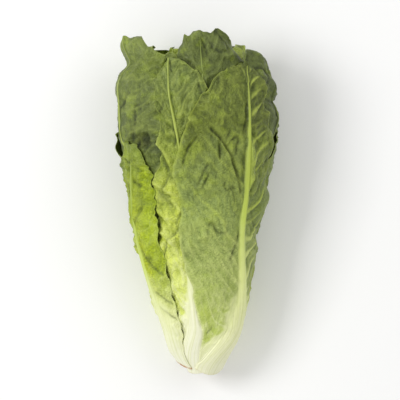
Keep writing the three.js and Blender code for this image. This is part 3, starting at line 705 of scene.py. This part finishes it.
def spreadRoof(roof):
    # past a margin the roof rises at a slope
    slopeRow = field["length"] / (field["rows"] - 1) * field["roofSlope"]
    for _ in range(field["roofPasses"]):
        roof[1:] = np.minimum(roof[1:], roof[:-1] + slopeRow)
        roof[:-1] = np.minimum(roof[:-1], roof[1:] + slopeRow)
        slopeColumn = fieldStep * np.minimum(roof, field["roofWide"]) * field["roofSlope"]
        for way in (1, -1):
            roof[:] = np.minimum(roof, np.roll(roof + slopeColumn, way, axis=1))


def settleLeaf(leaf, plan, roof):
    # the relief is added to the sheet, and the leaf is pressed in wherever another lies over it
    lies = plan["y"] + plan["slip"]   # y of each point once it has slipped along the axis
    room = fieldAt(roof, plan["angle"], lies) - field["clearance"]
    outer = plan["radius"] + plan["thickness"] + plan["height"]
    if leaf is leaves[lowestLeaf["index"]]:
        below = np.clip(room - outer, 0, lowestLeaf["sag"]) * (np.sin(plan["angle"]) < -0.3)
        outer = outer + below * (1 - smoothstep(0.6, 1, plan["share"])) * smoothstep(0, 0.25, plan["s"])
    outer = np.minimum(outer, room)
    inner = outer - plan["thickness"]
    evenAngle, evenInner = atEvenRows(plan, lies, plan["angle"]), atEvenRows(plan, lies, inner)
    layOnField(roof, evenAngle, plan["y"], evenInner, np.minimum)
    spreadRoof(roof)
    plan["inner"], plan["outer"] = inner, outer


plans = [stackLeaf(leaf) for leaf in reversed(leaves)][::-1]
print("leaves stacked")
down = np.minimum(np.sin(fieldAngles), field["floorFrom"])[None, :]
floorRadius = (axisZ(fieldRows)[:, None] + shift[2]) / -down
overFloor = np.sin(fieldAngles)[None, :] < field["floorFrom"]
roof = np.where(overFloor, floorRadius + field["clearance"], field["open"])
for leaf, plan in zip(leaves, plans):
    leafRelief(leaf, plan)
    settleLeaf(leaf, plan, roof)
print("leaves creased and settled")


def pointsAt(plan, radius):
    # each point at its radius and angle round the axis, at the y to which it has slipped, in the CAD frame
    y = plan["y"] + plan["slip"]
    x = axisX(y) + radius * np.cos(plan["angle"])
    z = axisZ(y) + radius * np.sin(plan["angle"])
    return np.stack([x, y, z], axis=-1) + shift


def slabQuads(rows, columns):
    # outer face, inner face turned round, and the four walls of the rim, as rows of four point numbers
    ids = np.arange(rows * columns).reshape(rows, columns)
    inner = ids + rows * columns
    face = np.stack([ids[:-1, :-1], ids[:-1, 1:], ids[1:, 1:], ids[1:, :-1]], axis=-1).reshape(-1, 4)
    back = np.stack([inner[:-1, :-1], inner[1:, :-1], inner[1:, 1:], inner[:-1, 1:]], axis=-1).reshape(-1, 4)
    loop = np.concatenate([ids[0, :-1], ids[:-1, -1], ids[-1, :0:-1], ids[:0:-1, 0]])
    after = np.roll(loop, -1)
    rim = np.stack([loop, loop + rows * columns, after + rows * columns, after], axis=-1)
    return np.concatenate([face, back, rim]).tolist()


def addObject(name, data):
    # a new object of that data, unmoved, in the scene
    made = bpy.data.objects.new(name, data)
    bpy.context.scene.collection.objects.link(made)
    return made


def meshPiece(name, points, faces, attributes, material):
    # points in millimetres, and in attributes one value a point
    mesh = bpy.data.meshes.new(name)
    mesh.from_pydata((points / 1000).tolist(), [], faces)
    for key, values in attributes.items():
        attribute = mesh.attributes.new(key, "FLOAT", "POINT")
        attribute.data.foreach_set("value", values.astype(np.float32).ravel())
    mesh.polygons.foreach_set("use_smooth", [True] * len(faces))
    mesh.materials.append(material)
    mesh.update()
    piece = addObject(name, mesh)
    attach(piece, "root")
    return piece


class Signal:
    # a shader socket that adds, subtracts and multiplies, each time as one Math node
    def __init__(self, graph, socket):
        self.graph, self.socket = graph, socket

    def math(self, operation, first, second=0):
        return self.graph.node("ShaderNodeMath", {"operation": operation}, {0: first, 1: second})

    def __add__(self, other):
        return self.math("ADD", self, other)

    def __sub__(self, other):
        return self.math("SUBTRACT", self, other)

    def __rsub__(self, other):
        return self.math("SUBTRACT", other, self)

    def __mul__(self, other):
        return self.math("MULTIPLY", self, other)

    def __abs__(self):
        return self.math("ABSOLUTE", self)

    __radd__, __rmul__ = __add__, __mul__


class Graph:
    # one material's node tree
    def __init__(self, name):
        self.material = bpy.data.materials.new(name)
        self.material.use_nodes = True
        self.tree = self.material.node_tree
        self.tree.nodes.clear()

    def node(self, kind, settings=None, sockets=None, output=0):
        # makes a node, sets what it is, fills or links its sockets, and returns one of its outputs
        made = self.tree.nodes.new(kind)
        for key, value in (settings or {}).items():
            if key == "stops":
                ramp = made.color_ramp.elements
                while len(ramp) < len(value):
                    ramp.new(1)
                for element, (place, colour) in zip(ramp, value):
                    element.position, element.color = place, colour
            else:
                setattr(made, key, value)
        for key, value in (sockets or {}).items():
            if isinstance(value, Signal):
                self.tree.links.new(value.socket, made.inputs[key])
            else:
                made.inputs[key].default_value = value
        return Signal(self, made.outputs[output]) if made.outputs else made

    def attribute(self, name):
        # a value of the mesh, one a point
        return self.node("ShaderNodeAttribute", {"attribute_name": name}, output=2)

    def noise(self, scale, detail, place=None, distortion=0.0):
        # spots of noise, scale of them a metre, on Object coordinates if no other place is given
        place = place or self.node("ShaderNodeTexCoord", output=3)
        return self.node("ShaderNodeTexNoise", {}, {
            "Vector": place, "Scale": scale, "Detail": detail, "Distortion": distortion})

    def blend(self, factor, first, second, how="MIX"):
        # the first colour where factor is 0, and where it is 1 the second, or what how makes of both
        return self.node("ShaderNodeMix", {"data_type": "RGBA", "blend_type": how},
                         {0: factor, 6: first, 7: second}, output=2)

    def window(self, value, low, high):
        # 0 below low, 1 above high, and a smooth step between
        return self.node("ShaderNodeMapRange", {"interpolation_type": "SMOOTHSTEP"},
                         {"Value": value, "From Min": low, "From Max": high})

    def ramp(self, where, places, codes):
        # the hex colours at their places from 0 to 1, and evenly blended between
        return self.node("ShaderNodeValToRGB", {"stops": list(zip(places, map(paint, codes)))}, {0: where})

    def bump(self, height, strength, distance):
        # a normal bent as if the surface rose by height times distance, in metres
        sockets = {"Strength": strength, "Distance": distance, "Height": height}
        return self.node("ShaderNodeBump", {}, sockets)

    def surface(self, sockets):
        # the finished material, with these sockets of its one shader filled
        self.node("ShaderNodeOutputMaterial", {}, {0: self.node("ShaderNodeBsdfPrincipled", {}, sockets)})
        return self.material


def paint(code):
    # linear colour of an sRGB hex code
    srgb = np.array([int(code[i:i + 2], 16) for i in (0, 2, 4)]) / 255
    linear = np.where(srgb <= 0.04045, srgb / 12.92, ((srgb + 0.055) / 1.055) ** 2.4)
    return (*linear.tolist(), 1.0)


leafFinish = {
    # scales of the noises: patches a metre, and for the fibres patches a mm across the leaf
    "scale": {"mottle": 30, "patch": 85, "fine": 240, "dust": 900, "streak": 330, "wrinkle": 150, "rust": 150,
              "cell": 420, "fibre": 0.8},
    "streakStretch": (1.0, 0.3, 1.0),   # streaks are longer along y
    "fibreStretch": 5,                  # a leaf is this many mm long to the fibres
    # with relief, raised parts move a little towards the pale foot shades and sunk parts towards the dark tip
    # shades: painted light and shade
    "stray": {"mottle": 0.26, "patch": 0.2, "relief": -0.02, "pale": 0.08},   # along the leaf's colour ramps
    # each layer's mask: the values at which it starts and is full
    "limits": {"ripe": (0.1, 0.45), "lime": (0.5, 0.7), "shadedHollow": (0.1, 1.6), "ridge": (-0.2, 1.4),
               "streak": (0.5, 0.72), "paleStreak": (0.5, 0.3), "wrinkle": (0.86, 1.0), "dust": (0.45, 0.72),
               "ridgeHighlight": (0.65, 0.25), "peakHighlight": (1.9, 3.6), "margin": (0.94, 1.0), "fibre": (0.45, 0.7),
               "rust": (0.25, 0.6), "cell": (0.0, 0.25)},
    # how strongly each layer shows, and its colour
    # the tints of the shaded hollows, the wrinkles and the fold shade are painted shade, and the ridge and
    # peak highlights and the margin's pale are painted light
    "strong": {"lime": 0.3, "glow": 0.9, "shadedHollow": 0.42, "streak": 0.38, "paleStreak": 0.22, "wrinkle": 0.3,
               "dust": 0.38, "ridgeHighlight": 0.4, "peakHighlight": 0.45, "foldShade": 0.85, "vein": 0.7, "margin": 0.65,
               "fibre": 0.4},
    "tint": {"lime": "b4ca34", "glow": "b0c400", "shadedHollow": "94a052", "streak": "a4ae60", "wrinkle": "8c9850",
             "dust": "9aa65a", "foldShade": "4c5a1e", "fibre": "ccd47c", "rust": "b9793c"},
    "bumps": {"cell": 0.5, "fine": 0.6, "streak": 0.8, "wrinkle": 0.6, "fibre": 0.8},
    "bump": 0.6, "bumpDepth": 0.0009,
    "rough": {"fine": 0.18, "rib": 0.06, "shadedHollow": 0.08},
    "coat": 0.08, "coatRoughness": 0.38, "specular": 0.36,
}


def leafMaterial(leaf):
    # the leaf's own shades from foot to tip, then layers: spots, painted shade in hollows, wrinkles and
    # creases, painted highlights on raised parts, veins, a margin paled as painted light, midrib, and rust at
    # the foot
    scale, strong, stray = leafFinish["scale"], leafFinish["strong"], leafFinish["stray"]
    limits = leafFinish["limits"]
    tint = {name: paint(code) for name, code in leafFinish["tint"].items()}
    graph = Graph(leaf["node"] + "_finish")
    along, vein, rib = graph.attribute("along"), graph.attribute("veins"), graph.attribute("ribMask")
    raised, sharp, glow = graph.attribute("relief"), graph.attribute("sharp"), graph.attribute("glow")
    edge, foot = graph.attribute("share"), graph.attribute("foot")
    place = graph.node("ShaderNodeTexCoord", output=3)
    stretched = graph.node("ShaderNodeMapping", {}, {"Vector": place, "Scale": leafFinish["streakStretch"]})
    mottle, patches = graph.noise(scale["mottle"], 4, place), graph.noise(scale["patch"], 4, place)
    fine, dust = graph.noise(scale["fine"], 4, place), graph.noise(scale["dust"], 4, place)
    streaks = graph.noise(scale["streak"], 4, stretched)
    sides = {0: graph.attribute("across"), 1: along * leafFinish["fibreStretch"]}
    fibres = graph.noise(scale["fibre"], 3, graph.node("ShaderNodeCombineXYZ", {}, sides))
    ripe = graph.window(along, *limits["ripe"]) * (1 - rib)   # the foot shows little of the blade's spots
    # thin wrinkle lines; a layer below darkens them as painted shade in the wrinkles
    wrinkle = 1 - abs((graph.noise(scale["wrinkle"], 3, place, 1.0) - 0.5) * 2)
    wrinkle = graph.window(wrinkle, *limits["wrinkle"]) * ripe
    # painted shade: the blade is darkened wherever its fine relief sinks, as shade falls in hollows
    shadedHollow = graph.window(0 - raised, *limits["shadedHollow"])
    # painted highlight: raised parts of the relief are paled as if lit
    ridgeLit = graph.window(raised, *limits["ridge"])
    rust = graph.window(graph.noise(scale["rust"], 3), *limits["rust"]) * leaf["rust"]

    where = along + (mottle - 0.5) * stray["mottle"] + (patches - 0.5) * stray["patch"]
    shade = graph.ramp(where + raised * stray["relief"], leaf["stops"], leaf["bladeShades"])
    pale = graph.ramp(along + (fine - 0.5) * stray["pale"], leaf["stops"], leaf["ribShades"])
    layers = [
        (graph.window(patches, *limits["lime"]) * strong["lime"], tint["lime"], "MIX"),
        (glow * strong["glow"], tint["glow"], "MIX"),
        # painted shade in the hollows
        (shadedHollow * ripe * strong["shadedHollow"], tint["shadedHollow"], "MULTIPLY"),
        (graph.window(streaks, *limits["streak"]) * ripe * strong["streak"], tint["streak"], "MULTIPLY"),
        (graph.window(streaks, *limits["paleStreak"]) * strong["paleStreak"], pale, "MIX"),
        # painted shade along the wrinkle lines
        (wrinkle * strong["wrinkle"], tint["wrinkle"], "MULTIPLY"),
        (graph.window(dust, *limits["dust"]) * ripe * strong["dust"], tint["dust"], "MULTIPLY"),
        # painted highlights on the raised ridges and the highest peaks
        (ridgeLit * strong["ridgeHighlight"] * graph.window(dust, *limits["ridgeHighlight"]), pale, "MIX"),
        (graph.window(raised, *limits["peakHighlight"]) * strong["peakHighlight"], pale, "MIX"),
        # painted shade in creases and fold grooves, and on a shaded side
        (sharp * strong["foldShade"], tint["foldShade"], "MULTIPLY"),
        (vein * strong["vein"], pale, "MIX"),
        # painted light: a paler rim along the margin, as if light shone through the thin edge
        (graph.window(edge, *limits["margin"]) * strong["margin"], pale, "MIX"),
        (rib, pale, "MIX"),
        (rib * graph.window(fibres, *limits["fibre"]) * strong["fibre"], tint["fibre"], "MULTIPLY"),
        (foot * rust, tint["rust"], "MIX"),
    ]
    for mask, colour, how in layers:
        shade = graph.blend(mask, shade, colour, how)

    cells = {"Vector": place, "Scale": float(scale["cell"])}
    cells = graph.node("ShaderNodeTexVoronoi", {"feature": "DISTANCE_TO_EDGE"}, cells)
    high, rough = leafFinish["bumps"], leafFinish["rough"]
    bumps = graph.window(cells, *limits["cell"]) * (1 - rib) * high["cell"] + fine * high["fine"]
    bumps = bumps + streaks * high["streak"] - wrinkle * high["wrinkle"] + rib * fibres * high["fibre"]
    roughness = leaf["roughness"] + (fine - 0.5) * rough["fine"] - rib * rough["rib"]
    roughness = roughness + shadedHollow * rough["shadedHollow"]
    return graph.surface({
        "Base Color": shade, "Roughness": roughness,
        "Normal": graph.bump(bumps, leafFinish["bump"], leafFinish["bumpDepth"]),
        "Coat Weight": leafFinish["coat"], "Coat Roughness": leafFinish["coatRoughness"],
        "Specular IOR Level": leafFinish["specular"],
    })


for leaf, plan in zip(leaves, plans):
    outer, inner = pointsAt(plan, plan["outer"]), pointsAt(plan, plan["inner"])
    points = np.concatenate([outer.reshape(-1, 3), inner.reshape(-1, 3)])
    points[:, 2] = np.maximum(points[:, 2], 0)   # nothing lies below the floor
    attributes = {mark: np.tile(values.ravel(), 2) for mark, values in plan["marks"].items()}
    faces = slabQuads(*plan["y"].shape)
    piece = meshPiece(leaf["node"] + "_sheet", points, faces, attributes, leafMaterial(leaf))
    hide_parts(leaf["node"])
print("leaf pieces made:", len(leaves))


def stemShape():
    # a lathe: rings across the cut face, which slopes with x, then the radius against y up the cone
    rows, columns = stem["rows"], stem["columns"]
    turn = np.arange(columns) * 2 * np.pi / columns
    faceRows = rows // 3
    inward = np.linspace(0.02, 1, faceRows)[:, None]
    wallY = np.linspace(stem["cutAt"], stem["height"] - stem["topGap"], rows - faceRows)[:, None]
    y = np.concatenate([np.full((faceRows, 1), float(stem["cutAt"])), wallY]) + 0 * turn
    scale = np.concatenate([inward, np.ones((rows - faceRows, 1))])
    grooves = stem["groove"] * np.sin(stem["grooves"] * turn) * smoothstep(0.5, 1, scale)
    radius = np.maximum(stemRadius(y) * scale - stem["skinGap"] - grooves, 0.05)
    x, z = radius * np.sin(turn), radius * np.cos(turn)
    up = y - stem["cutAt"]
    rough = smoothNoise(x / stem["cutGrain"] + 30, z / stem["cutGrain"] + 30, 5) - 0.5
    rough = stem["cutRelief"] * rough * (1 - smoothstep(0, 2, up))
    slant = stem["cutSlope"] * x * (1 - smoothstep(0, stem["slopeReach"], up))
    points = np.stack([x + axisX(y), y + slant + rough, z + axisZ(y)], axis=-1) + shift
    ids = np.arange(rows * columns).reshape(rows, columns)
    after = np.roll(ids, -1, axis=1)
    quads = np.stack([ids[:-1], ids[1:], after[1:], after[:-1]], axis=-1).reshape(-1, 4)
    ends = [ids[0].tolist(), ids[-1, ::-1].tolist()]
    attributes = {"cut": (1 - smoothstep(0.2, 2.5, up)) * np.ones_like(x), "ring": scale + 0 * turn}
    return points.reshape(-1, 3), quads.tolist() + ends, attributes


stemFinish = {
    "grain": 260, "spots": 700,   # patches a metre
    "flesh": ["efe9c8", "d9d6a0"], "brown": ["c98a4a", "9a5a2a"],
    "browned": [0.15, 0.75],      # how brown the cut is in its middle, and how much more towards its rim
    "rim": (0.45, 1.05), "rimStray": 0.6,   # the share of the radius over which it browns, and its stray
    "fleshLimits": (0.3, 0.7), "brownLimits": (0.4, 0.65),   # of the noise that blends each pair of colours
    "rough": 0.2, "roughness": 0.5, "bump": 0.4, "bumpDepth": 0.0005, "coat": 0.1, "coatRoughness": 0.4,
}


def stemMaterial():
    # pale flesh, and a cut face that is browner towards its rim
    graph = Graph("stem_finish")
    cut, ring = graph.attribute("cut"), graph.attribute("ring")
    grain, spots = graph.noise(stemFinish["grain"], 4), graph.noise(stemFinish["spots"], 2)
    flesh = graph.blend(graph.window(grain, *stemFinish["fleshLimits"]), *map(paint, stemFinish["flesh"]))
    brown = graph.blend(graph.window(spots, *stemFinish["brownLimits"]), *map(paint, stemFinish["brown"]))
    least, more = stemFinish["browned"]
    towardsRim = graph.window(ring + (grain - 0.5) * stemFinish["rimStray"], *stemFinish["rim"])
    amount = cut * (towardsRim * more + least)
    return graph.surface({
        "Base Color": graph.blend(amount, flesh, brown),
        "Roughness": stemFinish["roughness"] + (grain - 0.5) * stemFinish["rough"],
        "Normal": graph.bump(spots, stemFinish["bump"], stemFinish["bumpDepth"]),
        "Coat Weight": stemFinish["coat"], "Coat Roughness": stemFinish["coatRoughness"],
    })


points, faces, attributes = stemShape()
stemObject = meshPiece("stem_core_cone", points, faces, attributes, stemMaterial())
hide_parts("stem_core")
print("stem made")

studio = {   # in metres, apart from the sensor
    "floorSize": 6.0, "floorColours": ["f8f8f7", "fcfcfb"], "floorPatches": 3, "floorRoughness": 0.8,
    "world": "ffffff", "worldStrength": 0.62,
    "pictureWidth": 0.3408, "pictureCentre": (0.00114, 0.00095, 0.05),
    "distance": 2.5, "sensor": 36.0,
    "lampAim": (0, 0, 0.04),
}
floorMesh = bpy.data.meshes.new("floor")
edge = studio["floorSize"] / 2
corners = [(-edge, -edge, 0), (edge, -edge, 0), (edge, edge, 0), (-edge, edge, 0)]
floorMesh.from_pydata(corners, [], [(0, 1, 2, 3)])
floor = addObject("floor", floorMesh)
graph = Graph("floor_finish")
tone = graph.blend(graph.noise(studio["floorPatches"], 2), *map(paint, studio["floorColours"]))
floorMesh.materials.append(graph.surface({"Base Color": tone, "Roughness": studio["floorRoughness"]}))
floor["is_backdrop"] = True

world = bpy.data.worlds.new("studio")
bpy.context.scene.world = world
world.use_nodes = True
background = world.node_tree.nodes["Background"]
background.inputs["Color"].default_value = paint(studio["world"])
background.inputs["Strength"].default_value = studio["worldStrength"]
bpy.context.scene.view_settings.view_transform = "Standard"   # the hex colours are shown as they are written

softBoxes = [   # place and size in metres, power in watts
    {"name": "key", "place": (-1.05, 0.25, 1.3), "size": 0.7, "power": 13.5},
    {"name": "fill", "place": (1.1, 0.6, 1.3), "size": 1.4, "power": 5.5},
]
for box in softBoxes:
    light = bpy.data.lights.new(box["name"], "AREA")
    light.shape, light.size, light.energy = "SQUARE", box["size"], box["power"]
    lamp = addObject(box["name"], light)
    lamp.location = box["place"]
    towards = Vector(studio["lampAim"]) - Vector(box["place"])
    lamp.rotation_euler = towards.to_track_quat("-Z", "Y").to_euler()

camera = bpy.data.cameras.new("camera")
camera.sensor_width = studio["sensor"]
camera.lens = studio["sensor"] * studio["distance"] / studio["pictureWidth"]
cameraObject = addObject("camera", camera)
cameraObject.location = Vector(studio["pictureCentre"]) + Vector((0, 0, studio["distance"]))
bpy.context.scene.camera = cameraObject

bpy.context.view_layer.update()
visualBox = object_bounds()
{"cad": [list(corner) for corner in cadBox], "visual": [list(corner) for corner in visualBox]}
print("stage set")
